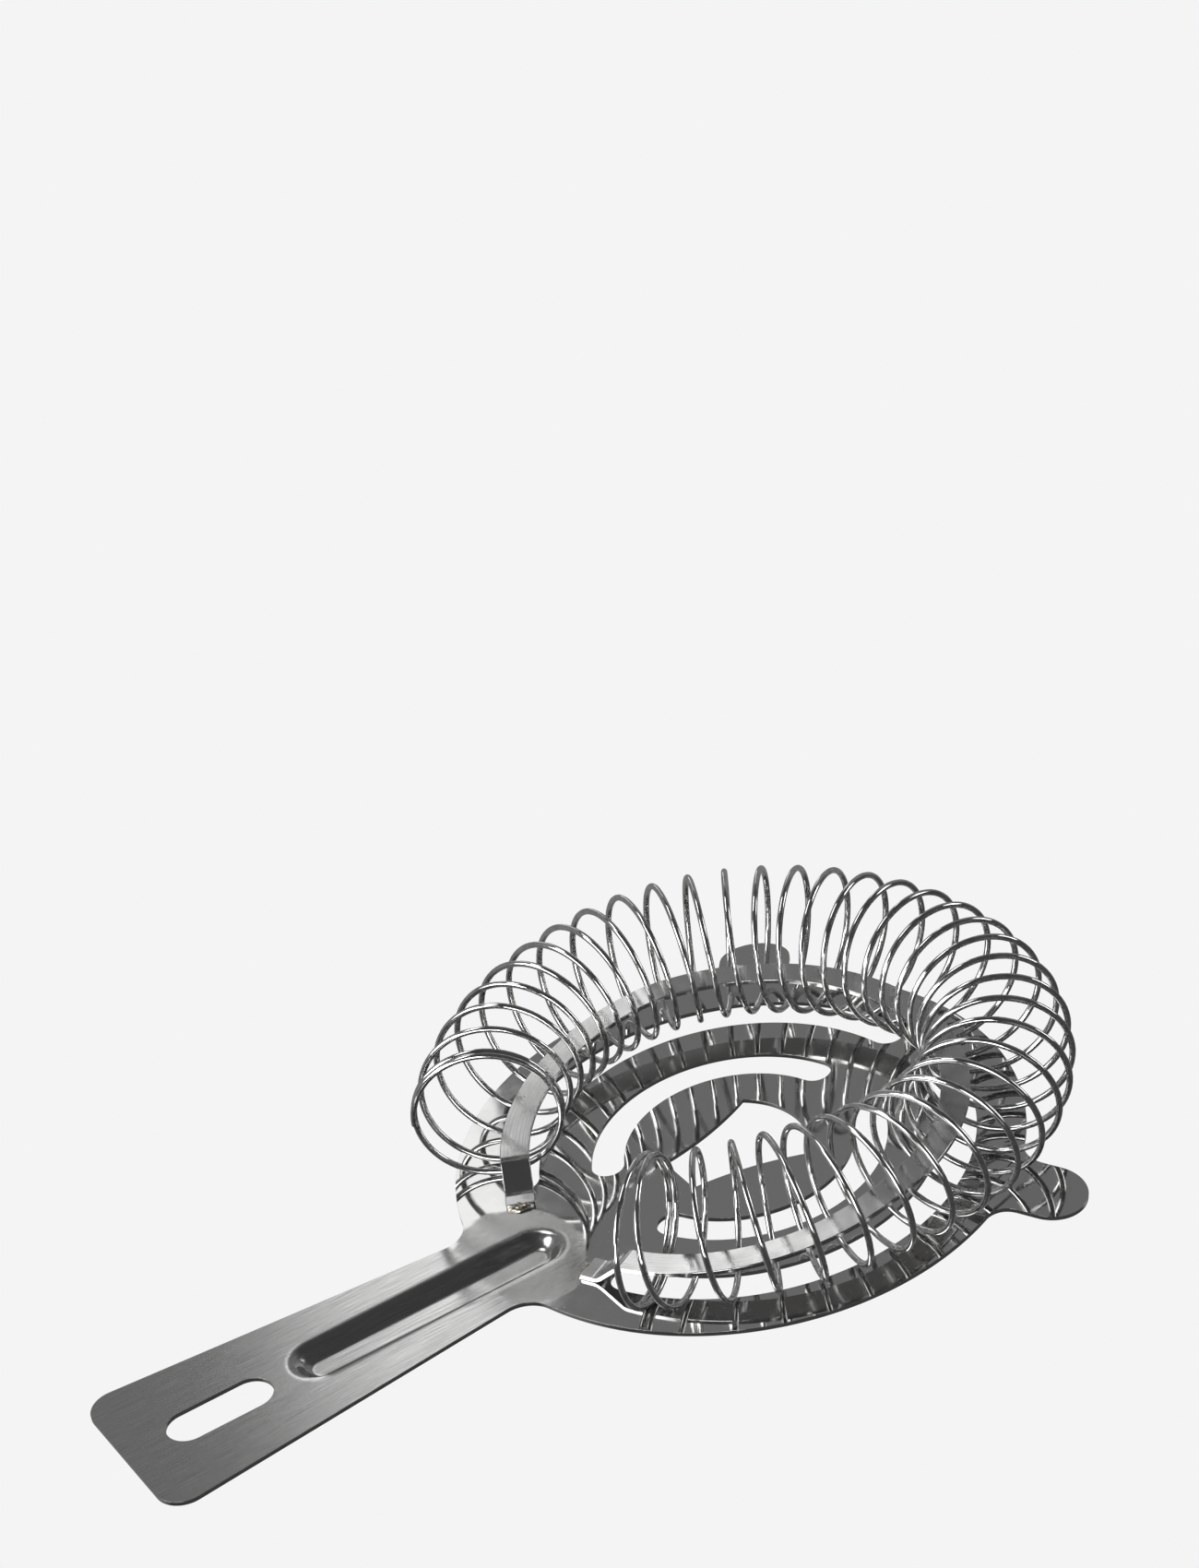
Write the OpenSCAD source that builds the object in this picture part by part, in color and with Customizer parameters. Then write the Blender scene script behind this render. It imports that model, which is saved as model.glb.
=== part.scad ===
// Hawthorne strainer for a bar: a stamped plate with its handle, a C-shaped rail on two
// welded feet, and one long coil spring that is threaded round the rail.
// The coil side is up (+Z), the handle points to -X, and the origin is the centre of the
// round plate on its coil-side face, which is the face that meets the rim of a glass.

/* [Plate] */
// Radius of the round plate
plate_r = 45; // [44:0.5:47]
// Thickness of the stamped sheet
sheet = 0.7; // [0.6:0.1:1]
// Middle radius of the two wide slots under the rail
wide_slot_r = 34.5; // [34:0.1:35]
// Width of the two wide slots
wide_slot_w = 5.6; // [4:0.1:6]
// Angle of a wide slot's front end, each way from the front
wide_slot_front = 13.2; // [12:0.2:16]
// Angle of a wide slot's back end, each way from the front
wide_slot_back = 152; // [148:0.5:152]
// Middle radius of the two narrow slots in the disc
narrow_slot_r = 20.8; // [20:0.1:22]
// Width of the two narrow slots in the disc
narrow_slot_w = 5.2; // [4:0.1:6]
// Angle of a narrow slot's front end
narrow_slot_front = 21.5; // [18:0.5:30]
// Angle of a narrow slot's back end
narrow_slot_back = 152; // [140:1:156]

/* [Centre opening] */
// Where the centre opening's straight back edge is
opening_back_x = -11.2; // [-12:0.1:-10]
// Radius of the centre opening's round front edge
opening_front_r = 13.2; // [13:0.1:13.6]
// How far back the round front edge has its centre
opening_front_x = -2.6; // [-3:0.1:-2]

/* [Finger tabs] */
// Angle of each finger tab from the front
tab_at = 54.5; // [50:0.5:60]
// Distance of a tab's tip from the centre, before it is bent
tab_tip_r = 57; // [54:0.5:60]
// Width of a tab
tab_w = 11.7; // [10:0.1:13]
// Bend of a tab away from the coil
tab_bend = 8.6; // [6:0.1:10]

/* [Handle] */
// Distance of the handle's end from the centre
handle_reach = 109; // [104:1:115]
// Width of the handle at its end
handle_end_w = 31.3; // [28:0.1:34]
// Width of the handle where it meets the plate
handle_neck_w = 18.7; // [18:0.1:20]
// Radius of the handle's two end corners
handle_corner_r = 4.4; // [2:0.1:6]
// Radius of the two hollows between the handle and the plate
neck_r = 5; // [3:0.5:8]
// Middle of the hanging slot
hang_x = -92.9; // [-94:0.1:-91]
// Length of the hanging slot
hang_l = 17.6; // [14:0.1:20]
// Width of the hanging slot
hang_w = 7; // [6:0.1:8]
// Back end of the stiffening groove
groove_back_x = -79.6; // [-80:0.1:-76]
// Front end of the stiffening groove
groove_front_x = -33.6; // [-36:0.1:-33]
// Width of the groove at the sheet's face
groove_w = 8; // [7:0.1:9]
// Width of the groove's flat floor
groove_floor_w = 4; // [3:0.1:5]
// Depth of the groove
groove_depth = 2; // [1.5:0.1:2]

/* [Spring rail] */
// Inner radius of the rail
rail_in_r = 32.6; // [32.4:0.1:33]
// Outer radius of the rail
rail_out_r = 37.2; // [36.8:0.1:37.6]
// Thickness of the rail's strip
rail_t = 0.8; // [0.6:0.1:1]
// Height of the rail's upper face at the front
rail_h = 7.9; // [7.5:0.1:8.2]
// Where the rail starts to slope down to its feet
rail_slope_x = 6; // [0:1:10]
// Slope of the rail's back half
rail_slope = 5.6; // [5:0.1:6]
// Angle at which each leg bends down, from the front
leg_at = 152; // [151.5:0.5:153]
// Run of the sloping leg along the rail
leg_run = 4.2; // [3.5:0.1:5]
// Length of the flat foot
foot_l = 2.8; // [2:0.1:4]
// Radius of the weld bead along the foot's end
weld_r = 0.8; // [0.5:0.1:1]

/* [Coil spring] */
// Diameter of the spring wire
wire_d = 1; // [0.8:0.05:1]
// Radius of one turn, at the middle of the wire
loop_r = 11.5; // [11.4:0.1:11.6]
// Number of turns, with the closed turns at both ends
coil_turns = 37.85; // [37.5:0.05:38]
// Turn spacing, in mm, of the closed turns at both ends
closed_pitch = 1.12; // [1.1:0.01:1.3]
// Mean radius of the line that the turns follow round the plate
coil_r = 38; // [37.5:0.1:38]
// How far the whole coil lies towards the front
coil_shift = 1.4; // [0:0.1:1.4]
// How far the coil is drawn out of round into an oval
coil_oval = 2.3; // [0:0.1:2.3]
// Direction of the oval's long axis
coil_oval_at = -14.4; // [-16:0.1:0]
// How far the loose coil bulges in three places
coil_lobe = 1.2; // [0:0.1:1.2]
// Direction of the first bulge
coil_lobe_at = -45.3; // [-50:0.1:-45]
// Gap between the coil and the plate that it lies on
coil_gap = 0.2; // [0.2:0.05:0.4]

/* [Hidden] */
$fn = 96;
over = 1;                       // how far a cutter runs past the face it cuts
bright = [0.72, 0.73, 0.74];
brushed = [0.62, 0.63, 0.64];
grey = [0.5, 0.51, 0.52];

// Handle: each side is a straight line that widens evenly towards the end
flare = (handle_end_w - handle_neck_w) / 2 / (handle_reach - plate_r);
flare_len = sqrt(1 + flare * flare);
half_at_centre = handle_neck_w / 2 - flare * plate_r;
side_normal = [flare, 1] / flare_len;
corner_x = handle_corner_r - handle_reach;
corner_y = half_at_centre - flare * corner_x - flare_len * handle_corner_r;

// Centre of the hollow that is tangent to the handle's side and to the round plate
neck_lift = half_at_centre + flare_len * neck_r;
neck_reach = plate_r + neck_r;
neck_root = sqrt(pow(neck_lift * flare, 2)
    - flare_len * flare_len * (neck_lift * neck_lift - neck_reach * neck_reach));
neck_x = (neck_lift * flare - neck_root) / (flare_len * flare_len);
neck_y = neck_lift - flare * neck_x;

// Centre opening: each long side is a shallow hollow curve
opening_side_r = 50;
opening_side_x = -15.6;
opening_side_y = 54.1;

tab_root_r = plate_r - 1.5;
tab_fillet_r = 4;

// Rail: height of its upper face where the legs bend down
leg_r = (rail_in_r + rail_out_r) / 2;
leg_h = rail_h - (rail_slope_x - leg_r * cos(leg_at)) * tan(rail_slope);
leg_lap = 1.5;

// Coil: its open turns are closest near the middle and spread towards both ends. Their angle
// round the plate is a sum of powers 0 to 6 of a number that goes from -1 to 1 along the coil.
turn_spread = [-1.4, -136.5, 12.8, -2.1, -27.3, -15.5, 9.4];
left_closed = 1.4;
right_closed = 1.5;
spread_turns = coil_turns - left_closed;
open_turns = spread_turns - right_closed;
coil_z = loop_r + wire_d / 2 + coil_gap;
rings_per_turn = 16;
wire_sides = 6;

// Flat shape of a curved slot with a half-round at each end
module arc_slot(r, w, from, to) {
    steps = 4;
    far = 2 * r;
    wedge = [for (k = [0 : steps]) let (a = from + (to - from) * k / steps) far * [cos(a), sin(a)]];
    intersection() {
        difference() {
            circle(r + w / 2);
            circle(r - w / 2);
        }
        polygon(concat([[0, 0]], wedge));
    }
    for (end = [[from, -w], [to, 0]])
        rotate(end[0]) translate([r, 0]) intersection() {
            circle(w / 2);
            translate([-w, end[1]]) square([2 * w, w]);
        }
}

// Flat shape of the handle, wider at its end, with two round corners
module handle_outline() {
    side = [corner_x, corner_y] + handle_corner_r * side_normal;
    half = [[-leg_r, half_at_centre + flare * leg_r], side, [corner_x, corner_y],
        [-handle_reach, corner_y]];
    lower = [for (k = [len(half) - 1 : -1 : 0]) [half[k][0], -half[k][1]]];
    polygon(concat(half, lower));
    for (s = [-1, 1])
        translate([corner_x, s * corner_y]) circle(handle_corner_r);
}

// Flat web that fills one inner corner between the handle and the plate
module neck_web() {
    ring_point = [neck_x, neck_y] * plate_r / neck_reach;
    side_point = [neck_x, neck_y] - neck_r * side_normal;
    difference() {
        polygon([ring_point, [neck_x, neck_y], side_point, [-leg_r, 0]]);
        translate([neck_x, neck_y]) circle(neck_r);
    }
}

// Flat shape of a finger tab, with a small fillet on each side of its root
module tab_outline() {
    reach = tab_tip_r - tab_root_r - tab_w / 2;
    translate([0, -tab_w / 2]) square([reach, tab_w]);
    translate([reach, 0]) circle(tab_w / 2);
    difference() {
        translate([0, -tab_w / 2 - tab_fillet_r])
            square([tab_fillet_r, tab_w + 2 * tab_fillet_r]);
        for (s = [-1, 1])
            translate([tab_fillet_r, s * (tab_w / 2 + tab_fillet_r)]) circle(tab_fillet_r);
    }
}

// Flat shape of the opening in the middle of the disc
module centre_opening() {
    difference() {
        intersection() {
            translate([opening_front_x, 0]) circle(opening_front_r);
            translate([opening_back_x, -plate_r]) square([plate_r, 2 * plate_r]);
        }
        for (s = [-1, 1])
            translate([opening_side_x, s * opening_side_y]) circle(opening_side_r);
    }
}

// Solid of a straight groove with sloping sides and two round ends
module trough(top_w, floor_w, top_z, floor_z) {
    back = groove_back_x + groove_w / 2;
    front = groove_front_x - groove_w / 2;
    translate([back, 0, 0]) rotate([90, 0, 90]) linear_extrude(front - back)
        polygon([[top_w / 2, top_z], [floor_w / 2, floor_z], [-floor_w / 2, floor_z],
            [-top_w / 2, top_z]]);
    for (end = [[back, 90], [front, -90]])
        translate([end[0], 0, 0]) rotate(end[1]) rotate_extrude(angle = 180)
            polygon([[0, top_z], [top_w / 2, top_z], [floor_w / 2, floor_z], [0, floor_z]]);
}

// The stamped plate: disc, outer ring, front bridge, neck, handle, groove and finger tabs
module strainer_plate() {
    widen = (groove_w - groove_floor_w) / groove_depth;
    wall = sheet * (sqrt(4 + widen * widen) - widen);
    color(bright) {
        difference() {
            union() {
                translate([0, 0, -sheet]) linear_extrude(sheet) {
                    circle(plate_r, $fn = 180);
                    handle_outline();
                    neck_web();
                    mirror([0, 1]) neck_web();
                }
                trough(groove_w + wall, groove_floor_w + wall, -sheet, -groove_depth - sheet);
            }
            translate([0, 0, -sheet - over]) linear_extrude(sheet + 2 * over) {
                for (s = [0, 1]) mirror([0, s]) {
                    arc_slot(wide_slot_r, wide_slot_w, wide_slot_front, wide_slot_back);
                    arc_slot(narrow_slot_r, narrow_slot_w, narrow_slot_front, narrow_slot_back);
                }
                centre_opening();
                for (s = [-1, 1])
                    translate([hang_x + s * (hang_l - hang_w) / 2, 0]) circle(hang_w / 2);
                translate([hang_x - (hang_l - hang_w) / 2, -hang_w / 2])
                    square([hang_l - hang_w, hang_w]);
            }
            trough(groove_w + widen * over, groove_floor_w, over, -groove_depth);
        }
        for (s = [-1, 1])
            rotate(s * tab_at) translate([tab_root_r, 0, 0]) rotate([0, tab_bend, 0])
                translate([0, 0, -sheet]) linear_extrude(sheet) tab_outline();
    }
}

// Flat shape of the rail's strip, from leg to leg round the front
module rail_strip() {
    difference() {
        circle(rail_out_r, $fn = 180);
        circle(rail_in_r, $fn = 180);
        rotate(180) polygon([[0, 0], 2 * leg_r * [cos(180 - leg_at), sin(180 - leg_at)], [2 * leg_r, 0],
            2 * leg_r * [cos(180 - leg_at), -sin(180 - leg_at)]]);
    }
}

// One bent leg with its flat foot, drawn along the rail and extruded across its width
module rail_leg() {
    drop = (leg_h - rail_t) / leg_run;
    slack = rail_t * (sqrt(1 + drop * drop) - 1) / drop;
    rise = leg_lap * tan(rail_slope);
    bend = [
        [-leg_lap, leg_h + rise - rail_t], [-leg_lap, leg_h + rise], [0, leg_h], [leg_run, rail_t],
        [leg_run + foot_l, rail_t], [leg_run + foot_l, 0],
        [leg_run - slack, 0], [-slack, leg_h - rail_t]
    ];
    rotate(leg_at) translate([rail_out_r, 0, 0]) rotate([90, 0, -90]) mirror([1, 0, 0])
        linear_extrude(rail_out_r - rail_in_r) polygon(bend);
}

// The rail: flat round the front, sloping down at the back, on two bent legs
module spring_rail() {
    color(grey) {
        intersection() {
            translate([0, 0, rail_h - rail_t]) linear_extrude(rail_t) rail_strip();
            translate([rail_slope_x, -plate_r, 0]) cube([plate_r, 2 * plate_r, plate_r]);
        }
        intersection() {
            translate([rail_slope_x, 0, rail_h]) rotate([0, -rail_slope, 0])
                translate([-rail_slope_x, 0, -rail_t]) linear_extrude(rail_t) rail_strip();
            translate([rail_slope_x - 2 * plate_r, -plate_r, 0])
                cube([2 * plate_r, 2 * plate_r, plate_r]);
        }
        for (s = [0, 1]) mirror([0, s, 0]) rail_leg();
    }
}

// Weld bead that closes the corner between a foot's end and the plate
module foot_weld() {
    rotate(leg_at) translate([rail_in_r, leg_run + foot_l, 0]) rotate([0, 90, 0])
        intersection() {
            cylinder(h = rail_out_r - rail_in_r, r = weld_r);
            translate([-weld_r, 0, 0]) cube([weld_r, weld_r, rail_out_r - rail_in_r]);
        }
}

module left_foot_weld() color(brushed) foot_weld();

module right_foot_weld() color(brushed) mirror([0, 1, 0]) foot_weld();

// Angle round the plate after t open turns
function open_angle(t) = let (
        u = 2 * t / spread_turns - 1,
        terms = [for (k = [0 : len(turn_spread) - 1]) turn_spread[k] * pow(u, k)]
    )
    terms * [for (term = terms) 1];

// Place of the coil's turns: the angle round the plate and the radius after t turns. The closed
// turns at the ends don't fan out: they lie side by side, each a step further along.
function coil_angle(t) = open_angle(min(max(t - left_closed, 0), open_turns));
function coil_step(t) = let (n = t - left_closed)
    -closed_pitch * (n < 0 ? n : n > open_turns ? n - open_turns : 0);
function coil_line_r(a) = coil_r + coil_shift * cos(a) + coil_oval * cos(2 * (a - coil_oval_at))
    + coil_lobe * cos(3 * (a - coil_lobe_at));
function coil_point(t) = let (a = coil_angle(t), r = coil_line_r(a) + loop_r * cos(360 * t))
    [r * cos(a) - coil_step(t) * sin(a), r * sin(a) + coil_step(t) * cos(a),
        coil_z + loop_r * sin(360 * t)];
function unit(v) = v / norm(v);

// One ring of points round the wire after t turns
function wire_ring(t) = let (
        step = 1 / rings_per_turn / 4,
        along = unit(coil_point(t + step) - coil_point(t - step)),
        a = coil_angle(t),
        out = [cos(360 * t) * cos(a), cos(360 * t) * sin(a), sin(360 * t)],
        across = unit(out - (out * along) * along),
        beside = cross(along, across)
    )
    [for (k = [0 : wire_sides - 1]) let (b = 360 * k / wire_sides)
        coil_point(t) + wire_d / 2 * (cos(b) * across + sin(b) * beside)];

// The coil: one wire, right-handed, wound round the rail from the left foot to the right
module coil_spring() {
    rings = round(coil_turns * rings_per_turn);
    points = [for (i = [0 : rings]) each wire_ring(coil_turns * i / rings)];
    sides = [for (i = [0 : rings - 1], k = [0 : wire_sides - 1])
        let (n = (k + 1) % wire_sides, low = i * wire_sides, high = low + wire_sides)
        [low + k, low + n, high + n, high + k]];
    start_cap = [for (k = [wire_sides - 1 : -1 : 0]) k];
    end_cap = [for (k = [0 : wire_sides - 1]) rings * wire_sides + k];
    color(bright) polyhedron(points, concat(sides, [start_cap, end_cap]));
}

strainer_plate();
spring_rail();
left_foot_weld();
right_foot_weld();
coil_spring();
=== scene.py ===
import math

import bmesh
import bpy
from bpy.props import FloatProperty, FloatVectorProperty, IntProperty, PointerProperty
from mathutils import Matrix, Vector


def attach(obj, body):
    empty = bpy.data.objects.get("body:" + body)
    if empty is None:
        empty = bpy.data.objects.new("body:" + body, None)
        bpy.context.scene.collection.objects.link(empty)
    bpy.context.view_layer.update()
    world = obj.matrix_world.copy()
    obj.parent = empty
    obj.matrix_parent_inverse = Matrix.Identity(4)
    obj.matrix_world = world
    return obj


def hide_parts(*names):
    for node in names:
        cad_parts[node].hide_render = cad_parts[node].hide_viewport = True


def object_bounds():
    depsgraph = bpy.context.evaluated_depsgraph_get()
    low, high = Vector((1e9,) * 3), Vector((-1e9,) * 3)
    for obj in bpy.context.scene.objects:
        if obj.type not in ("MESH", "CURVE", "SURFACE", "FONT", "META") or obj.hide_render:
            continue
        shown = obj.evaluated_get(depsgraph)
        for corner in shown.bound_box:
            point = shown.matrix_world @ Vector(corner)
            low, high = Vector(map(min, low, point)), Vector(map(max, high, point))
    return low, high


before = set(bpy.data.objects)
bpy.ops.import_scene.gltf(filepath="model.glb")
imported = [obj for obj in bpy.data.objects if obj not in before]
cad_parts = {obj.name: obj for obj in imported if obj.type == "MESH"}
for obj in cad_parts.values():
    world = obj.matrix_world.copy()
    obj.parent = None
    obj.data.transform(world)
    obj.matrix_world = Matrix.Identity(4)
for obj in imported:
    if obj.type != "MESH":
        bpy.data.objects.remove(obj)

bl_info = {
    "name": "Hawthorne strainer",
    "version": (1, 0, 0),
    "blender": (4, 5, 0),
    "location": "View3D > Sidebar > Strainer",
    "description": "Models a stamped bar strainer with its spring around the packed CAD part",
    "category": "Add Mesh",
}

MM = 0.001
CAD_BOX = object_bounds()


# ---- Colours, nodes and materials ----

def linear(code):
    """A colour in sRGB hex as linear RGBA."""
    channels = [int(code[k:k + 2], 16) / 255 for k in (1, 3, 5)]
    low = [c / 12.92 if c <= 0.04045 else ((c + 0.055) / 1.055) ** 2.4 for c in channels]
    return (*low, 1)


def add_node(tree, kind, settings=None, links=None):
    """Adds a node. Settings are its properties, or its input sockets by name or number; links go from
    other nodes' outputs to its inputs."""
    node = tree.nodes.new(kind)
    for key, value in (settings or {}).items():
        if isinstance(key, str) and hasattr(node, key):
            setattr(node, key, value)
        else:
            node.inputs[key].default_value = value
    for key, source in (links or {}).items():
        tree.links.new(source, node.inputs[key])
    return node


def new_material(name):
    material = bpy.data.materials.new(name)
    material.use_nodes = True
    material.node_tree.nodes.clear()
    return material


def place(tree):
    """Object coordinates in metres."""
    return add_node(tree, "ShaderNodeTexCoord").outputs["Object"]


def finish_material(tree, shader):
    add_node(tree, "ShaderNodeOutputMaterial", links={"Surface": shader.outputs[0]})


def mask(tree, value, low, high, out_low=0.0, out_high=1.0):
    """A soft step of a value, from one limit to the other."""
    return add_node(tree, "ShaderNodeMapRange", {
        "interpolation_type": "SMOOTHSTEP", "From Min": low, "From Max": high,
        "To Min": out_low, "To Max": out_high}, {"Value": value}).outputs[0]


def maths(tree, operation, *terms):
    """The result of a sum on numbers or other nodes' outputs."""
    node = add_node(tree, "ShaderNodeMath", {"operation": operation})
    for k, term in enumerate(terms):
        if isinstance(term, (int, float)):
            node.inputs[k].default_value = term
        else:
            tree.links.new(term, node.inputs[k])
    return node.outputs[0]


def noise(tree, where, per_metre, detail=3.0, roughness=0.5):
    """Cloudy pattern from 0 to 1; per_metre is how many times it repeats in a metre along X, Y and Z."""
    scaled = add_node(tree, "ShaderNodeMapping", {"Scale": per_metre}, {"Vector": where})
    return add_node(tree, "ShaderNodeTexNoise", {
        "Scale": 1.0, "Detail": detail, "Roughness": roughness}, {
        "Vector": scaled.outputs[0]}).outputs["Fac"]


def even(per_metre):
    """The same scale along X, Y and Z."""
    return per_metre, per_metre, per_metre


def blend(tree, factor, low, high):
    """Goes from low to high, each a number or an output, as the factor goes from 0 to 1."""
    node = add_node(tree, "ShaderNodeMix", links={"Factor": factor})
    for key, term in ((2, low), (3, high)):
        if isinstance(term, (int, float)):
            node.inputs[key].default_value = term
        else:
            tree.links.new(term, node.inputs[key])
    return node.outputs[0]


def shade(tree, factor, dark, pale):
    """A colour between two sRGB codes."""
    return add_node(tree, "ShaderNodeMix", {"data_type": "RGBA", 6: linear(dark), 7: linear(pale)},
                    {"Factor": factor}).outputs[2]


def plate_steel():
    """Stainless sheet: the round plate buffed to a mirror, the handle brushed lengthwise, and a patch
    round the groove's front end left dull by the welding."""
    material = new_material("buffed_and_brushed_stainless_sheet")
    tree = material.node_tree
    where = place(tree)
    xyz = add_node(tree, "ShaderNodeSeparateXYZ", links={0: where})
    x, y = xyz.outputs["X"], xyz.outputs["Y"]
    ragged = noise(tree, where, even(150), 4.0)

    # The brushing stops in a ragged line 47 mm behind the middle of the plate
    edge = maths(tree, "MULTIPLY_ADD", ragged, 0.004, x)
    handle = mask(tree, edge, -0.0442, -0.0458)
    lines = noise(tree, where, (70, 4200, 200), 4.0, 0.6)
    scratches = noise(tree, where, (160, 9000, 200), 2.0, 0.5)

    # Dull patch: an oval 20 mm long and 25 mm wide, with a worn border
    along = maths(tree, "DIVIDE", maths(tree, "ADD", x, 0.0405), 0.0102)
    aside = maths(tree, "DIVIDE", y, 0.0125)
    oval = maths(tree, "SQRT", maths(tree, "ADD", maths(tree, "POWER", along, 2.0),
                                     maths(tree, "POWER", aside, 2.0)))
    worn = maths(tree, "MULTIPLY_ADD", ragged, 0.35, oval)
    dull = mask(tree, worn, 1.22, 1.12)
    rub = noise(tree, where, (420, 2600, 300), 3.0, 0.65)

    # Buffed plate: cloudy haze a few millimetres across, hairlines, and small pits
    haze = noise(tree, where, even(230), 3.0)
    grain = noise(tree, where, even(2600), 2.0)
    pits = mask(tree, noise(tree, where, even(2400), 1.0), 0.76, 0.8)

    buffed = blend(tree, pits, mask(tree, haze, 0.3, 0.75, 0.035, 0.075), 0.35)
    satin = mask(tree, rub, 0.25, 0.75, 0.14, 0.26)
    brushed = mask(tree, lines, 0.25, 0.75, 0.12, 0.2)
    roughness = blend(tree, handle, blend(tree, dull, buffed, satin), brushed)

    tone = blend(tree, handle, blend(tree, dull, mask(tree, pits, 0.0, 1.0, 0.8, 0.2),
                                     mask(tree, rub, 0.2, 0.8, 0.2, 0.75)),
                 mask(tree, scratches, 0.3, 0.7, 0.45, 1.0))
    colour = shade(tree, tone, "#A9A9A7", "#D2D2D1")

    relief = blend(tree, handle, blend(tree, dull, maths(tree, "MULTIPLY", grain, 0.02), rub),
                   maths(tree, "ADD", lines, maths(tree, "MULTIPLY", scratches, 0.6)))
    bump = add_node(tree, "ShaderNodeBump", {"Strength": 0.3, "Distance": 0.00002}, {"Height": relief})
    # The brushed lines scatter light across the handle and hardly at all along it
    across = add_node(tree, "ShaderNodeCombineXYZ", {1: 1.0})
    shader = add_node(tree, "ShaderNodeBsdfPrincipled", {"Metallic": 1.0}, {
        "Base Color": colour, "Roughness": roughness, "Normal": bump.outputs[0],
        "Anisotropic": maths(tree, "MULTIPLY", handle, 0.6), "Tangent": across.outputs[0]})
    finish_material(tree, shader)
    return material


def rail_steel():
    """Stainless strip, rolled to size: fine lines run round the rail, with small dark, dull specks
    scattered over it.
    """
    material = new_material("rolled_stainless_strip")
    tree = material.node_tree
    where = place(tree)
    xyz = add_node(tree, "ShaderNodeSeparateXYZ", links={0: where})
    ring = maths(tree, "SQRT", maths(tree, "ADD", maths(tree, "POWER", xyz.outputs["X"], 2.0),
                                     maths(tree, "POWER", xyz.outputs["Y"], 2.0)))
    rolled = add_node(tree, "ShaderNodeTexNoise", {
        "noise_dimensions": "1D", "Scale": 5000.0, "Detail": 3.0}, {"W": ring}).outputs["Fac"]
    haze = noise(tree, where, even(260), 4.0)
    specks = mask(tree, noise(tree, where, even(2400), 1.0), 0.74, 0.78, 0.0, 0.6)
    lines = maths(tree, "MULTIPLY", maths(tree, "ADD", rolled, haze), 0.5)
    roughness = blend(tree, specks, mask(tree, lines, 0.3, 0.7, 0.1, 0.2), 0.4)
    colour = shade(tree, maths(tree, "SUBTRACT", 1.0, specks), "#8F8E8C", "#CFCFCE")
    bump = add_node(tree, "ShaderNodeBump", {"Strength": 0.25, "Distance": 0.00001}, {"Height": rolled})
    shader = add_node(tree, "ShaderNodeBsdfPrincipled", {"Metallic": 1.0}, {
        "Base Color": colour, "Roughness": roughness, "Normal": bump.outputs[0]})
    finish_material(tree, shader)
    return material


def weld_steel():
    """Stainless weld metal: bright, lumpy where it froze, with a straw tint from the heat."""
    material = new_material("bright_weld_metal")
    tree = material.node_tree
    where = place(tree)
    lumps = noise(tree, where, even(1400), 3.0, 0.6)
    tint = noise(tree, where, even(500), 2.0)
    colour = shade(tree, mask(tree, tint, 0.35, 0.7), "#B9B0A0", "#DADAD8")
    bump = add_node(tree, "ShaderNodeBump", {"Strength": 0.6, "Distance": 0.00012}, {"Height": lumps})
    shader = add_node(tree, "ShaderNodeBsdfPrincipled", {"Metallic": 1.0}, {
        "Base Color": colour, "Roughness": mask(tree, lumps, 0.3, 0.7, 0.14, 0.34),
        "Normal": bump.outputs[0]})
    finish_material(tree, shader)
    return material


def spring_wire():
    """Stainless spring wire: drawn bright, with faint cloudy marks left by the die and by coiling."""
    material = new_material("drawn_stainless_spring_wire")
    tree = material.node_tree
    where = place(tree)
    marks = noise(tree, where, even(700), 4.0, 0.6)
    grain = noise(tree, where, even(6000), 2.0)
    colour = shade(tree, mask(tree, marks, 0.3, 0.6), "#C8C8C7", "#E4E4E3")
    bump = add_node(tree, "ShaderNodeBump", {"Strength": 0.15, "Distance": 0.00001}, {"Height": grain})
    shader = add_node(tree, "ShaderNodeBsdfPrincipled", {"Metallic": 1.0}, {
        "Base Color": colour, "Roughness": mask(tree, marks, 0.3, 0.7, 0.06, 0.13),
        "Normal": bump.outputs[0]})
    finish_material(tree, shader)
    return material


# ---- Working in object and edit mode ----

def use_only(*objects):
    bpy.ops.object.select_all(action="DESELECT")
    for obj in objects:
        obj.select_set(True)
    bpy.context.view_layer.objects.active = objects[0]


def select_faces(obj, wanted):
    """In edit mode, selects the faces whose middle is wanted."""
    bpy.ops.mesh.select_mode(type="FACE")
    mesh = bmesh.from_edit_mesh(obj.data)
    for face in mesh.faces:
        face.select_set(wanted(face.calc_center_median() / MM))
    mesh.select_flush_mode()
    bmesh.update_edit_mesh(obj.data)


def cut(obj, wanted, planes):
    """In edit mode, cuts the wanted faces along each plane, given as a point and a normal in mm."""
    for point, normal in planes:
        select_faces(obj, wanted)
        bpy.ops.mesh.bisect(plane_co=Vector(point) * MM, plane_no=normal)


def modify(obj, kind, **settings):
    """Adds a modifier and applies it."""
    modifier = obj.modifiers.new(kind.title(), kind)
    for key, value in settings.items():
        setattr(modifier, key, value)
    use_only(obj)
    bpy.ops.object.modifier_apply(modifier=modifier.name)


def finish_piece(obj, name, body, nodes, material, smooth_angle=40):
    obj.name = obj.data.name = name
    obj.data.materials.clear()
    obj.data.materials.append(material)
    use_only(obj)
    bpy.ops.object.transform_apply(location=True, rotation=True, scale=True)
    bpy.ops.object.shade_smooth_by_angle(angle=math.radians(smooth_angle))
    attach(obj, body)
    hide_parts(*nodes)


# ---- Outlines, in mm ----

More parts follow.
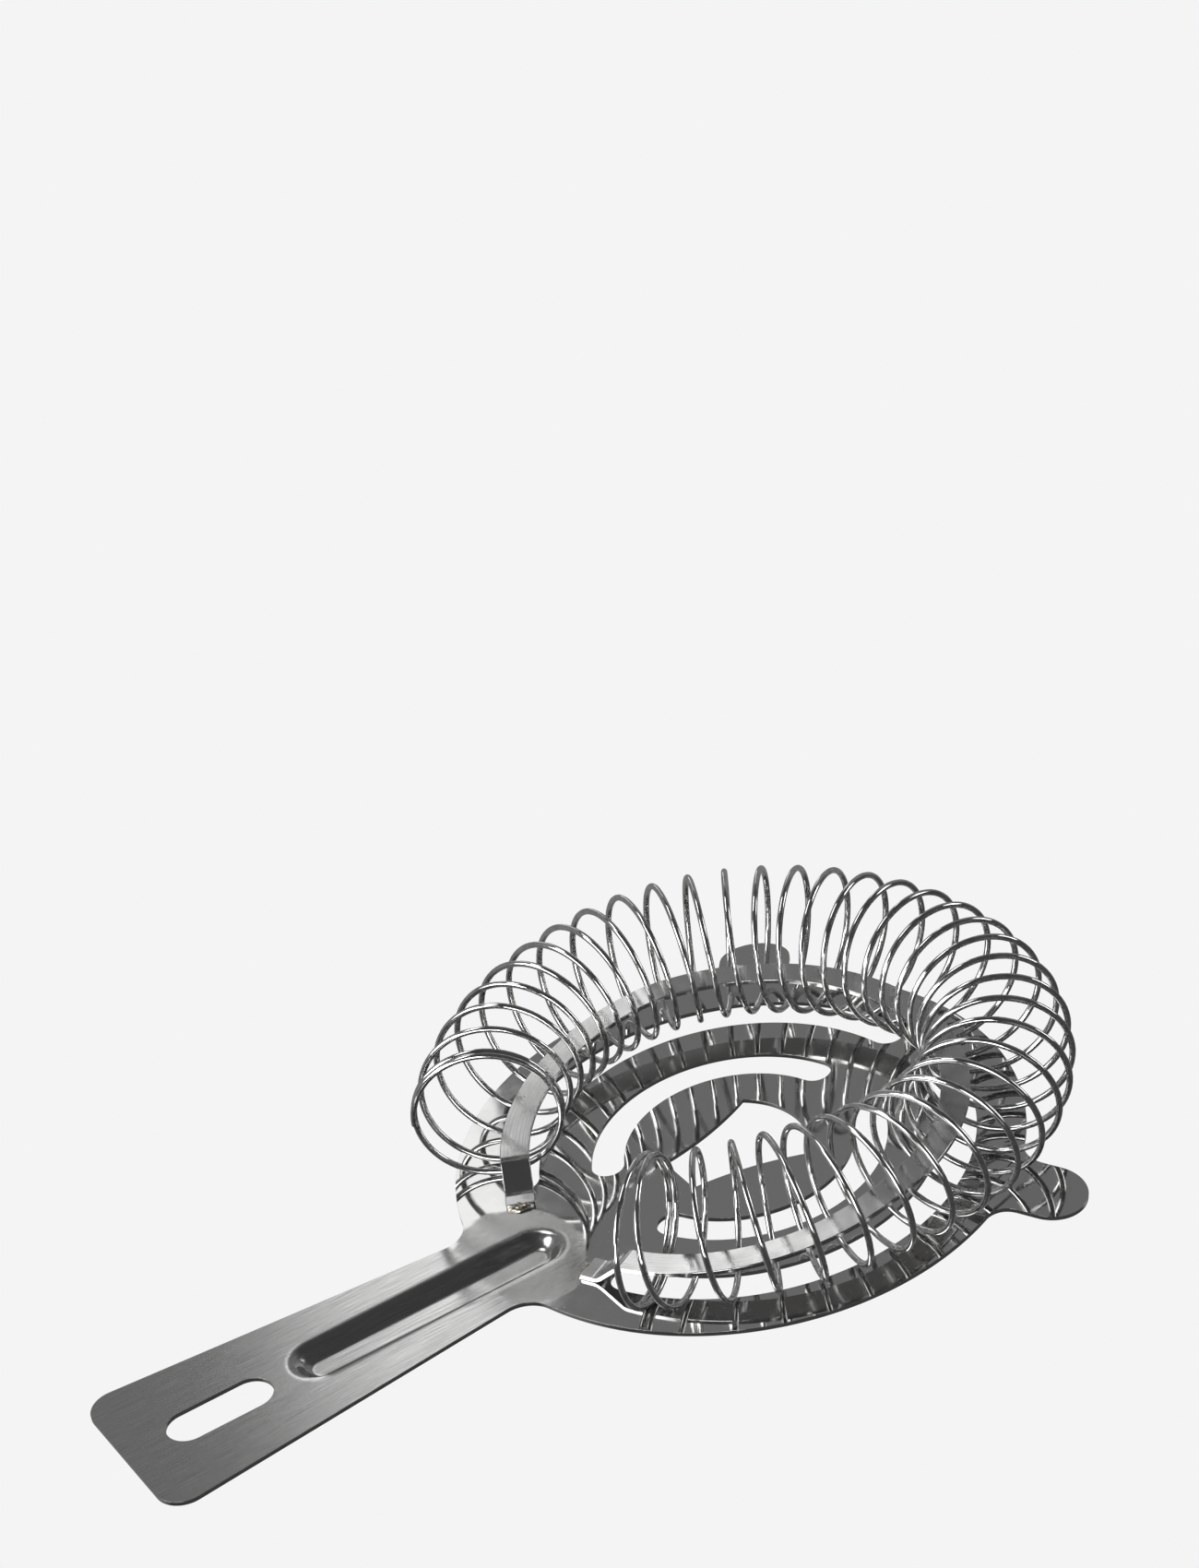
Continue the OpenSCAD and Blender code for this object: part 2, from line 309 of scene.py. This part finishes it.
def arc(x, y, r, start, end, step=1.5):
    """Points along an arc, in degrees, with both of its ends."""
    count = max(2, math.ceil(abs(end - start) / step))
    angles = [math.radians(start + (end - start) * k / count) for k in range(count + 1)]
    return [(x + r * math.cos(a), y + r * math.sin(a)) for a in angles]


def mirrored(points):
    return [(x, -y) for x, y in reversed(points)]


def turned(points, degrees):
    c, s = math.cos(math.radians(degrees)), math.sin(math.radians(degrees))
    return [(x * c - y * s, x * s + y * c) for x, y in points]


def plate_outline(p):
    """The disc with its two finger tabs, the neck and the handle, anticlockwise from the front."""
    tab_half = p.tab_w / 2
    fillet_v = tab_half + p.tab_fillet
    fillet_u = math.sqrt((p.plate_r + p.tab_fillet) ** 2 - fillet_v ** 2)
    spread = math.degrees(math.atan2(fillet_v, fillet_u))
    tip_u = p.tab_tip_r - tab_half
    tab = (arc(fillet_u, -fillet_v, p.tab_fillet, 180 - spread, 90, 6)
           + arc(tip_u, 0, tab_half, -90, 90, 5)
           + arc(fillet_u, fillet_v, p.tab_fillet, 270, 180 + spread, 6))
    flare = (p.handle_end_w - p.handle_neck_w) / 2 / (p.handle_reach - p.plate_r)
    lean = math.sqrt(1 + flare * flare)
    half = p.handle_neck_w / 2 - flare * p.plate_r
    lift, reach = half + lean * p.neck_r, p.plate_r + p.neck_r
    root = math.sqrt((lift * flare) ** 2 - lean ** 2 * (lift ** 2 - reach ** 2))
    neck_x = (lift * flare - root) / lean ** 2
    neck_y = lift - flare * neck_x
    neck_at = math.degrees(math.atan2(neck_y, neck_x))
    side_at = math.degrees(math.atan(flare))
    corner_x = p.handle_corner_r - p.handle_reach
    corner_y = half - flare * corner_x - lean * p.handle_corner_r
    side = 90 - side_at
    upper = (arc(0, 0, p.plate_r, 0, p.tab_at - spread)
             + turned(tab, p.tab_at)
             + arc(0, 0, p.plate_r, p.tab_at + spread, neck_at)
             + arc(neck_x, neck_y, p.neck_r, neck_at - 180, side - 180, 5)
             + arc(corner_x, corner_y, p.handle_corner_r, side, 180, 6))
    return upper + mirrored(upper)


def slot_outline(r, w, start, end):
    def on(a):
        return r * math.cos(math.radians(a)), r * math.sin(math.radians(a))
    return (arc(0, 0, r + w / 2, start, end)
            + arc(*on(end), w / 2, end, end + 180, 8)
            + arc(0, 0, r - w / 2, end, start)
            + arc(*on(start), w / 2, start + 180, start + 360, 8))


def opening_outline(p):
    """The middle opening: a straight back edge, two hollow sides and a round front."""
    dx, dy = p.opening_front_x - p.opening_side_x, p.opening_side_y
    apart = math.hypot(dx, dy)
    front_r, side_r = p.opening_front_r, p.opening_side_r
    along = (front_r ** 2 - side_r ** 2 + apart ** 2) / (2 * apart)
    towards = math.degrees(math.atan2(dy, -dx))
    corner = towards - math.degrees(math.acos(along / front_r))
    corner_x = p.opening_front_x + front_r * math.cos(math.radians(corner))
    corner_y = front_r * math.sin(math.radians(corner))
    start = math.degrees(math.atan2(corner_y - dy, corner_x - p.opening_side_x))
    end = -90 + math.degrees(math.asin((p.opening_back_x - p.opening_side_x) / side_r))
    half = (arc(p.opening_front_x, 0, front_r, 0, corner, 3)
            + arc(p.opening_side_x, dy, side_r, start, end))
    return half + mirrored(half)


def capsule_outline(x, length, w):
    half = (length - w) / 2
    return arc(x + half, 0, w / 2, -90, 90, 6) + arc(x - half, 0, w / 2, 90, 270, 6)


def flat_face(loops):
    """One flat object filled inside the first outline and outside the others."""
    rings = []
    for points in loops:
        bpy.ops.object.select_all(action="DESELECT")
        bpy.ops.mesh.primitive_circle_add(vertices=len(points), fill_type="NOTHING")
        ring = bpy.context.object
        for vertex, (x, y) in zip(ring.data.vertices, points):
            vertex.co = (x * MM, y * MM, 0)
        rings.append(ring)
    use_only(*rings)
    bpy.ops.object.join()
    face = bpy.context.object
    bpy.ops.object.mode_set(mode="EDIT")
    bpy.ops.mesh.select_all(action="SELECT")
    bpy.ops.mesh.remove_doubles(threshold=0.01 * MM)
    bpy.ops.mesh.fill()
    bpy.ops.mesh.select_all(action="SELECT")
    if bmesh.from_edit_mesh(face.data).faces[:][0].normal.z < 0:
        bpy.ops.mesh.flip_normals()
    bpy.ops.object.mode_set(mode="OBJECT")
    return face


# ---- The stamped plate ----

def smooth_step(t):
    t = min(max(t, 0), 1)
    return t * t * (3 - 2 * t)


SHOULDER_SHARE = 0.16
TAB_REACH = 14  # how far each side of a tab's middle line its bend can reach, mm


def stamped_height(p, x, y):
    """How far the press moved the flat sheet at a point, in mm."""
    back, front = p.groove_back_x + p.groove_w / 2, p.groove_front_x - p.groove_w / 2
    beside = math.hypot(x - min(max(x, back), front), y)
    floor_half = p.groove_floor_w / 2
    wall_w = (p.groove_w - p.groove_floor_w) / 1.5
    wall = smooth_step((beside - floor_half + 0.3) / wall_w)
    # A shallow soft shoulder, a sixth of the depth, runs out past the top of the wall
    shoulder = smooth_step((beside - floor_half - 0.8) / 2.5)
    z = -p.groove_depth * (1 - (1 - SHOULDER_SHARE) * wall - SHOULDER_SHARE * shoulder)
    for side in (-1, 1):
        a = math.radians(side * p.tab_at)
        u, v = x * math.cos(a) + y * math.sin(a), y * math.cos(a) - x * math.sin(a)
        if u > p.tab_bend_start and abs(v) < TAB_REACH:
            curl = p.tab_bend_length
            slope = math.tan(math.radians(p.tab_bend))
            over = u - p.tab_bend_start
            z -= slope * (over ** 2 / (2 * curl) if over < curl else over - curl / 2)
    return z


class PlateSizes(bpy.types.PropertyGroup):
    plate_r: FloatProperty(name="Plate radius", description="Radius of the round plate, mm", default=45)
    sheet: FloatProperty(name="Sheet", description="Thickness of the sheet, mm", default=0.7)
    wide_slot_r: FloatProperty(name="Wide slot radius", description="Middle radius, mm", default=34.5)
    wide_slot_w: FloatProperty(name="Wide slot width", description="Width, mm", default=5.6)
    wide_slot_front: FloatProperty(name="Wide slot front", description="Angle, degrees", default=13.2)
    wide_slot_back: FloatProperty(name="Wide slot back", description="Angle, degrees", default=152)
    narrow_slot_r: FloatProperty(name="Narrow slot radius", description="Middle radius, mm", default=20.8)
    narrow_slot_w: FloatProperty(name="Narrow slot width", description="Width, mm", default=5.2)
    narrow_slot_front: FloatProperty(name="Narrow slot front", description="Angle, degrees", default=21.5)
    narrow_slot_back: FloatProperty(name="Narrow slot back", description="Angle, degrees", default=152)
    opening_back_x: FloatProperty(name="Opening back", description="Back edge, mm", default=-11.2)
    opening_front_r: FloatProperty(name="Opening front radius", description="Radius, mm", default=13.2)
    opening_front_x: FloatProperty(name="Opening front centre", description="Centre, mm", default=-2.6)
    opening_side_r: FloatProperty(name="Opening side radius", description="Radius, mm", default=50)
    opening_side_x: FloatProperty(name="Opening side x", description="Centre, mm", default=-15.6)
    opening_side_y: FloatProperty(name="Opening side y", description="Centre, mm", default=54.1)
    tab_at: FloatProperty(name="Tab angle", description="Angle from the front, degrees", default=54.5)
    tab_tip_r: FloatProperty(name="Tab tip", description="Distance from the centre, mm", default=57)
    tab_w: FloatProperty(name="Tab width", description="Width, mm", default=11.7)
    tab_fillet: FloatProperty(name="Tab fillet", description="Radius at the root, mm", default=4)
    tab_bend: FloatProperty(name="Tab bend", description="Bend away from the coil, degrees", default=9.2)
    tab_bend_start: FloatProperty(name="Tab bend start", description="Radius, mm", default=42.5)
    tab_bend_length: FloatProperty(name="Tab bend length", description="Length, mm", default=4)
    handle_reach: FloatProperty(name="Handle reach", description="Distance to its end, mm", default=109)
    handle_end_w: FloatProperty(name="Handle end width", description="Width, mm", default=31.3)
    handle_neck_w: FloatProperty(name="Handle neck width", description="Width, mm", default=18.7)
    handle_corner_r: FloatProperty(name="Handle corner", description="Radius, mm", default=4.4)
    neck_r: FloatProperty(name="Neck hollow", description="Radius, mm", default=5)
    hang_x: FloatProperty(name="Hanging slot x", description="Middle, mm", default=-92.9)
    hang_l: FloatProperty(name="Hanging slot length", description="Length, mm", default=17.6)
    hang_w: FloatProperty(name="Hanging slot width", description="Width, mm", default=7)
    groove_back_x: FloatProperty(name="Groove back", description="Back end, mm", default=-79.6)
    groove_front_x: FloatProperty(name="Groove front", description="Front end, mm", default=-33.6)
    groove_w: FloatProperty(name="Groove width", description="Width at the face, mm", default=8)
    groove_floor_w: FloatProperty(name="Groove floor", description="Floor width, mm", default=4)
    groove_depth: FloatProperty(name="Groove depth", description="Depth, mm", default=2)
    edge_r: FloatProperty(name="Edge rounding", description="Tumbled edge, mm", default=0.16)


class STRAINER_OT_plate(bpy.types.Operator):
    """Makes the stamped plate from its outlines"""
    bl_idname = "strainer.make_plate"
    bl_label = "Stamped plate"

    def execute(self, context):
        p = context.scene.strainer_plate
        wide = slot_outline(p.wide_slot_r, p.wide_slot_w, p.wide_slot_front, p.wide_slot_back)
        narrow = slot_outline(p.narrow_slot_r, p.narrow_slot_w, p.narrow_slot_front, p.narrow_slot_back)
        plate = flat_face([
            plate_outline(p), wide, mirrored(wide), narrow, mirrored(narrow), opening_outline(p),
            capsule_outline(p.hang_x, p.hang_l, p.hang_w)])
        self.grid_for_groove(plate, p)
        self.grid_for_tabs(plate, p)
        for vertex in plate.data.vertices:
            vertex.co.z = stamped_height(p, vertex.co.x / MM, vertex.co.y / MM) * MM
        modify(plate, "SOLIDIFY", thickness=p.sheet * MM, offset=-1, use_even_offset=True)
        finish_piece(plate, "plate_sheet", "plate", ["strainer_plate"], plate_steel())
        modify(plate, "BEVEL", width=p.edge_r * MM, segments=2, limit_method="ANGLE",
               angle_limit=math.radians(50), harden_normals=True)
        return {"FINISHED"}

    def grid_for_groove(self, plate, p):
        """A fine grid where the groove is pressed in, because the rest of the sheet stays flat."""
        margin = 2.6
        half = p.groove_w / 2 + margin
        back, front = p.groove_back_x - margin, p.groove_front_x + margin

        def near(c):
            return back < c.x < front and abs(c.y) < half
        use_only(plate)
        bpy.ops.object.mode_set(mode="EDIT")
        cut(plate, lambda c: True, [((back, 0, 0), (1, 0, 0)), ((front, 0, 0), (1, 0, 0)),
                                    ((0, half, 0), (0, 1, 0)), ((0, -half, 0), (0, 1, 0))])
        select_faces(plate, near)
        bpy.ops.mesh.dissolve_faces()
        fine = 0.35
        rows = int(2 * half / fine)
        ends = int((p.groove_w + 3) / fine)
        across = [((0, -half + 2 * half * k / rows, 0), (0, 1, 0)) for k in range(1, rows)]
        lengthwise = [back + fine * k for k in range(1, ends)]
        lengthwise += [front - fine * k for k in range(1, ends)]
        middle = [back + fine * ends + k * (front - back - 2 * fine * ends) / 10 for k in range(11)]
        cut(plate, near, across + [((x, 0, 0), (1, 0, 0)) for x in lengthwise + middle])
        bpy.ops.object.mode_set(mode="OBJECT")

    def grid_for_tabs(self, plate, p):
        """Cuts across the root of each finger tab, where it bends."""
        use_only(plate)
        bpy.ops.object.mode_set(mode="EDIT")
        for side in (-1, 1):
            a = math.radians(side * p.tab_at)
            out = Vector((math.cos(a), math.sin(a), 0))

            def near(c, out=out):
                return c.dot(out) > p.tab_bend_start - 1 and (c - out * c.dot(out)).length < 20
            steps = [p.tab_bend_start + k * 0.4 for k in range(13)]
            cut(plate, near, [(out * s, out) for s in steps])
        bpy.ops.object.mode_set(mode="OBJECT")


# ---- The spring rail and its welds ----

class RailSizes(bpy.types.PropertyGroup):
    inner_r: FloatProperty(name="Inner radius", description="Inner radius, mm", default=32.6)
    outer_r: FloatProperty(name="Outer radius", description="Outer radius, mm", default=37.2)
    strip: FloatProperty(name="Strip", description="Thickness, mm", default=0.8)
    height: FloatProperty(name="Height", description="Upper face at the front, mm", default=7.9)
    slope_x: FloatProperty(name="Slope start", description="Where the slope starts, mm", default=6)
    slope: FloatProperty(name="Slope", description="Slope of the back half, degrees", default=5.6)
    leg_at: FloatProperty(name="Leg angle", description="Where a leg bends down, degrees", default=152)
    leg_run: FloatProperty(name="Leg run", description="Run of the leg along the rail, mm", default=4.2)
    foot_l: FloatProperty(name="Foot length", description="Length of the flat foot, mm", default=2.8)
    weld_r: FloatProperty(name="Weld bead", description="Radius of the bead, mm", default=0.8)
    edge_r: FloatProperty(name="Edge rounding", description="Rounded edge, mm", default=0.14)


def rail_height(p, x):
    """Height of the rail's upper face, with a soft bend where the slope starts."""
    bend = 2.5
    over = p.slope_x - x
    fall = 0 if over < -bend else over if over > bend else (over + bend) ** 2 / (4 * bend)
    return p.height - fall * math.tan(math.radians(p.slope))


LEG_BEND_SOFT = 0.6  # half the length that a leg's bend is rounded over, mm
LEG_BEND_REACH = 2  # how far before the leg its bend may start, mm


def rail_path(p, s):
    """Middle of the rail's upper face at s mm from the front, and the direction across it."""
    r = (p.inner_r + p.outer_r) / 2
    side = 1 if s >= 0 else -1
    arc_length = r * math.radians(p.leg_at)
    along = abs(s)
    a = min(along, arc_length) / r
    x, y = r * math.cos(a), r * math.sin(a)
    beyond = along - arc_length
    z = rail_height(p, x)
    if beyond > -LEG_BEND_REACH:
        leg_top = rail_height(p, r * math.cos(math.radians(p.leg_at)))

        def ramp(t):
            """Straight fall from the leg's top to the foot."""
            return leg_top - (leg_top - p.strip) * min(max(t / p.leg_run, 0), 1)
        # The mean of the ramp over a short length rounds off both of its bends
        count = 9
        mean = sum(ramp(beyond + LEG_BEND_SOFT * (2 * k / (count - 1) - 1)) for k in range(count)) / count
        z = mean if beyond > 0 else z - (leg_top - mean)
    if beyond > 0:
        x -= beyond * math.sin(a)
        y += beyond * math.cos(a)
    return Vector((x, side * y, z)), Vector((math.cos(a), side * math.sin(a), 0))


class STRAINER_OT_rail(bpy.types.Operator):
    """Makes the C-shaped rail with its two bent legs"""
    bl_idname = "strainer.make_rail"
    bl_label = "Spring rail"

    def execute(self, context):
        p = context.scene.strainer_rail
        r = (p.inner_r + p.outer_r) / 2
        turn = r * math.radians(p.leg_at)
        leg = p.leg_run + p.foot_l
        stops = [turn * k / 90 for k in range(1, 89)]
        stops += [turn * 89 / 90 + (turn / 90 + leg) * k / 36 for k in range(37)]
        stations = [-s for s in reversed(stops)] + [0] + stops
        bpy.ops.object.select_all(action="DESELECT")
        bpy.ops.mesh.primitive_grid_add(
            x_subdivisions=len(stations) - 1, y_subdivisions=2, size=2)
        rail = bpy.context.object
        half = (p.outer_r - p.inner_r) / 2
        columns = len(stations)
        for vertex in rail.data.vertices:
            station = stations[round((vertex.co.x + 1) / 2 * (columns - 1))]
            middle, out = rail_path(p, station)
            vertex.co = (middle - out * half * vertex.co.y) * MM
        bpy.ops.object.mode_set(mode="EDIT")
        bpy.ops.mesh.select_all(action="SELECT")
        if bmesh.from_edit_mesh(rail.data).faces[:][0].normal.z < 0:
            bpy.ops.mesh.flip_normals()
        bpy.ops.object.mode_set(mode="OBJECT")
        modify(rail, "SOLIDIFY", thickness=p.strip * MM, offset=-1, use_even_offset=True)
        finish_piece(rail, "rail_strip", "plate", ["spring_rail"],
                     rail_steel())
        modify(rail, "BEVEL", width=p.edge_r * MM, segments=2, limit_method="ANGLE",
               angle_limit=math.radians(50), harden_normals=True)
        return {"FINISHED"}


class STRAINER_OT_welds(bpy.types.Operator):
    """Makes the two weld beads that hold the rail's feet"""
    bl_idname = "strainer.make_welds"
    bl_label = "Foot welds"

    def execute(self, context):
        p = context.scene.strainer_rail
        r = (p.inner_r + p.outer_r) / 2
        end = r * math.radians(p.leg_at) + p.leg_run + p.foot_l
        metal = weld_steel()
        for side, name in ((1, "left"), (-1, "right")):
            middle, out = rail_path(p, side * end)
            bpy.ops.object.select_all(action="DESELECT")
            bpy.ops.mesh.primitive_uv_sphere_add(segments=32, ring_count=20, radius=1)
            bead = bpy.context.object
            along = Vector((-out.y, out.x, 0))
            for vertex in bead.data.vertices:
                c = vertex.co.copy()
                wobble = 1 + 0.12 * math.sin(5 * c.x + side) * math.cos(4 * c.y + 2 * side)
                flat = Vector((middle.x, middle.y, 0))
                place_at = (flat + out * c.x * 2.2 * wobble + along * c.y * 1.1 * wobble
                            + Vector((0, 0, p.weld_r * max(c.z, -0.15) * wobble)))
                vertex.co = place_at * MM
            finish_piece(bead, "weld_" + name, "plate", [name + "_foot_weld"], metal)
        return {"FINISHED"}


# ---- The coil spring ----

class CoilSizes(bpy.types.PropertyGroup):
    wire_d: FloatProperty(name="Wire", description="Diameter of the wire, mm", default=1)
    loop_r: FloatProperty(name="Turn radius", description="Radius of one turn, mm", default=11.5)
    turns: FloatProperty(name="Turns", description="Number of turns", default=37.85)
    left_closed: FloatProperty(name="Left closed", description="Closed turns", default=1.4)
    right_closed: FloatProperty(name="Right closed", description="Closed turns", default=1.5)
    closed_pitch: FloatProperty(name="Closed pitch", description="Step of a closed turn, mm", default=1.12)
    mean_r: FloatProperty(name="Coil radius", description="Mean radius round the plate, mm", default=38)
    shift: FloatProperty(name="Shift", description="Shift to the front, mm", default=1.4)
    oval: FloatProperty(name="Oval", description="Out of round, mm", default=2.3)
    oval_at: FloatProperty(name="Oval axis", description="Direction, degrees", default=-14.4)
    lobe: FloatProperty(name="Lobe", description="Bulge in three places, mm", default=1.2)
    lobe_at: FloatProperty(name="Lobe axis", description="Direction, degrees", default=-45.3)
    gap: FloatProperty(name="Gap", description="Gap over the plate, mm", default=0.2)
    rings: IntProperty(name="Rings", description="Rings of wire in one turn", default=64)


# Powers 0 to 6 of a number that goes from -1 to 1 along the open turns
TURN_SPREAD = (-1.4, -136.5, 12.8, -2.1, -27.3, -15.5, 9.4)


def coil_point(c, t):
    """Middle of the wire after t turns: open turns fan out round the rail, closed ones lie side by side."""
    spread = c.turns - c.left_closed
    opened = min(max(t - c.left_closed, 0), spread - c.right_closed)
    u = 2 * opened / spread - 1
    degrees = sum(term * u ** k for k, term in enumerate(TURN_SPREAD))
    a = math.radians(degrees)
    r = (c.mean_r + c.shift * math.cos(a) + c.oval * math.cos(2 * math.radians(degrees - c.oval_at))
         + c.lobe * math.cos(3 * math.radians(degrees - c.lobe_at)))
    step = -c.closed_pitch * (t - c.left_closed - opened)
    phase = math.tau * t
    r += c.loop_r * math.cos(phase)
    z = c.loop_r + c.wire_d / 2 + c.gap + c.loop_r * math.sin(phase)
    return Vector((r * math.cos(a) - step * math.sin(a), r * math.sin(a) + step * math.cos(a), z))


class STRAINER_OT_coil(bpy.types.Operator):
    """Makes the coil spring as one round wire"""
    bl_idname = "strainer.make_coil"
    bl_label = "Coil spring"

    def execute(self, context):
        c = context.scene.strainer_coil
        count = round(c.turns * c.rings)
        curve = bpy.data.curves.new("coil_wire", "CURVE")
        curve.dimensions = "3D"
        line = curve.splines.new("POLY")
        line.points.add(count)
        for k, point in enumerate(line.points):
            point.co = (*(coil_point(c, c.turns * k / count) * MM), 1)
        curve.bevel_depth = c.wire_d / 2 * MM
        curve.bevel_resolution = 4
        curve.use_fill_caps = True
        wire = bpy.data.objects.new("coil_wire", curve)
        context.scene.collection.objects.link(wire)
        use_only(wire)
        bpy.ops.object.convert(target="MESH")
        wire = context.object
        finish_piece(wire, "coil_wire", "coil", ["coil_spring"],
                     spring_wire(), 50)
        return {"FINISHED"}


# ---- The studio ----

CAMERA_TURN = (-25.382, 32.366, -10.912)  # azimuth, elevation and roll, degrees


class StudioSettings(bpy.types.PropertyGroup):
    camera_place: FloatVectorProperty(name="Camera", description="Place of the camera", size=3,
                                      subtype="TRANSLATION", default=(-0.25336, -0.50893, 0.43060))
    lens: FloatProperty(name="Lens", description="Focal length, mm", default=104.35)


def light_card(name, place_m, aim_m, size_m, glow):
    """A soft light of one even brightness, where 1 is paper white."""
    bpy.ops.object.light_add(type="AREA", location=place_m)
    lamp = bpy.context.object
    lamp.name = name
    lamp.rotation_euler = (Vector(aim_m) - Vector(place_m)).to_track_quat("-Z", "Y").to_euler()
    lamp.data.shape = "RECTANGLE"
    lamp.data.size, lamp.data.size_y = size_m
    lamp.data.energy = glow * math.pi * size_m[0] * size_m[1]
    lamp.visible_camera = False
    return lamp


class STRAINER_OT_studio(bpy.types.Operator):
    """Makes the pale floor, the soft lights and the camera"""
    bl_idname = "strainer.make_studio"
    bl_label = "Studio"

    def execute(self, context):
        s = context.scene.strainer_studio
        scene = context.scene
        bpy.ops.object.select_all(action="DESELECT")
        bpy.ops.mesh.primitive_plane_add(size=12, location=(0, 0, CAD_BOX[0].z - 0.0002))
        floor = context.object
        floor.name = "floor"
        material = new_material("pale_paper_floor")
        tree = material.node_tree
        glow = add_node(tree, "ShaderNodeEmission", {"Color": linear("#F4F4F4"), "Strength": 1.0})
        finish_material(tree, glow)
        floor.data.materials.append(material)
        floor.visible_glossy = False
        self.walls(scene)
        # Two strips behind the part light the handle and the neck; the boxes and the floor card
        # draw the bright lines on the wire
        light_card("strip_behind", (0.32, 0.94, 0.46), (0.02, 0, 0.46), (0.07, 0.95), 1.2)
        light_card("strip_edge", (0.262, 0.94, 0.46), (0.02, 0, 0.46), (0.045, 0.95), 0.75)
        light_card("left_box", (-1.1, 0.1, 0.55), (0, 0, 0), (0.9, 0.6), 5)
        light_card("top_back_box", (-0.3, 0.45, 1.1), (0, 0, 0), (0.5, 0.3), 4)
        light_card("low_front_box", (-0.85, -0.75, 0.12), (0, 0, 0), (0.5, 0.5), 7)
        light_card("right_box", (1.1, -0.35, 0.35), (0, 0, 0), (0.35, 0.5), 3.5)
        light_card("front_floor_card", (-0.25, -0.35, -0.002), (-0.25, -0.35, 1), (0.45, 0.3), 1.2)
        cam = bpy.data.cameras.new("camera")
        cam.lens, cam.sensor_width = s.lens, 36
        camera = bpy.data.objects.new("camera", cam)
        scene.collection.objects.link(camera)
        azimuth, elevation, roll = (math.radians(d) for d in CAMERA_TURN)
        level = math.cos(elevation)
        back = Vector((math.sin(azimuth) * level, -math.cos(azimuth) * level, math.sin(elevation)))
        side = (-back).cross(Vector((0, 0, 1))).normalized()
        up = side.cross(-back)
        rolled_side = side * math.cos(roll) + up * math.sin(roll)
        rolled_up = -side * math.sin(roll) + up * math.cos(roll)
        camera.matrix_world = Matrix.Translation(s.camera_place) @ Matrix(
            (rolled_side, rolled_up, back)).transposed().to_4x4()
        scene.camera = camera
        scene.view_settings.view_transform = "Standard"
        return {"FINISHED"}

    def walls(self, scene):
        """Room that is grey behind the part, up to 45 degrees, and dark elsewhere, as metal sees it."""
        world = bpy.data.worlds.new("studio_walls")
        scene.world = world
        world.use_nodes = True
        tree = world.node_tree
        tree.nodes.clear()
        xyz = add_node(tree, "ShaderNodeSeparateXYZ", links={
            0: add_node(tree, "ShaderNodeTexCoord").outputs["Generated"]})
        behind = mask(tree, xyz.outputs["Y"], -0.1, 0.35)
        below = mask(tree, xyz.outputs["Z"], 0.85, 0.65)
        seen = maths(tree, "MULTIPLY_ADD", maths(tree, "MULTIPLY", behind, below), 0.155, 0.065)
        camera_ray = add_node(tree, "ShaderNodeLightPath").outputs["Is Camera Ray"]
        strength = blend(tree, camera_ray, seen, 0.9)
        glow = add_node(tree, "ShaderNodeBackground", links={"Strength": strength})
        glow.inputs["Color"].default_value = (1, 1, 1, 1)
        add_node(tree, "ShaderNodeOutputWorld", links={"Surface": glow.outputs[0]})


class STRAINER_PT_panel(bpy.types.Panel):
    """Buttons for each group of pieces"""
    bl_label = "Hawthorne strainer"
    bl_idname = "STRAINER_PT_panel"
    bl_space_type = "VIEW_3D"
    bl_region_type = "UI"
    bl_category = "Strainer"

    def draw(self, context):
        for operator in OPERATORS:
            self.layout.operator(operator.bl_idname)


OPERATORS = (STRAINER_OT_plate, STRAINER_OT_rail, STRAINER_OT_welds, STRAINER_OT_coil, STRAINER_OT_studio)
GROUPS = (("strainer_plate", PlateSizes), ("strainer_rail", RailSizes), ("strainer_coil", CoilSizes),
          ("strainer_studio", StudioSettings))


def register():
    for cls in [g for _, g in GROUPS] + list(OPERATORS) + [STRAINER_PT_panel]:
        bpy.utils.register_class(cls)
    for name, group in GROUPS:
        setattr(bpy.types.Scene, name, PointerProperty(type=group))


def unregister():
    for name, _ in GROUPS:
        delattr(bpy.types.Scene, name)
    for cls in [STRAINER_PT_panel] + list(reversed(OPERATORS)) + [g for _, g in GROUPS]:
        bpy.utils.unregister_class(cls)


def main():
    register()
    bpy.ops.strainer.make_plate()
    bpy.ops.strainer.make_rail()
    bpy.ops.strainer.make_welds()
    bpy.ops.strainer.make_coil()
    bpy.ops.strainer.make_studio()


if __name__ == "__main__":
    main()
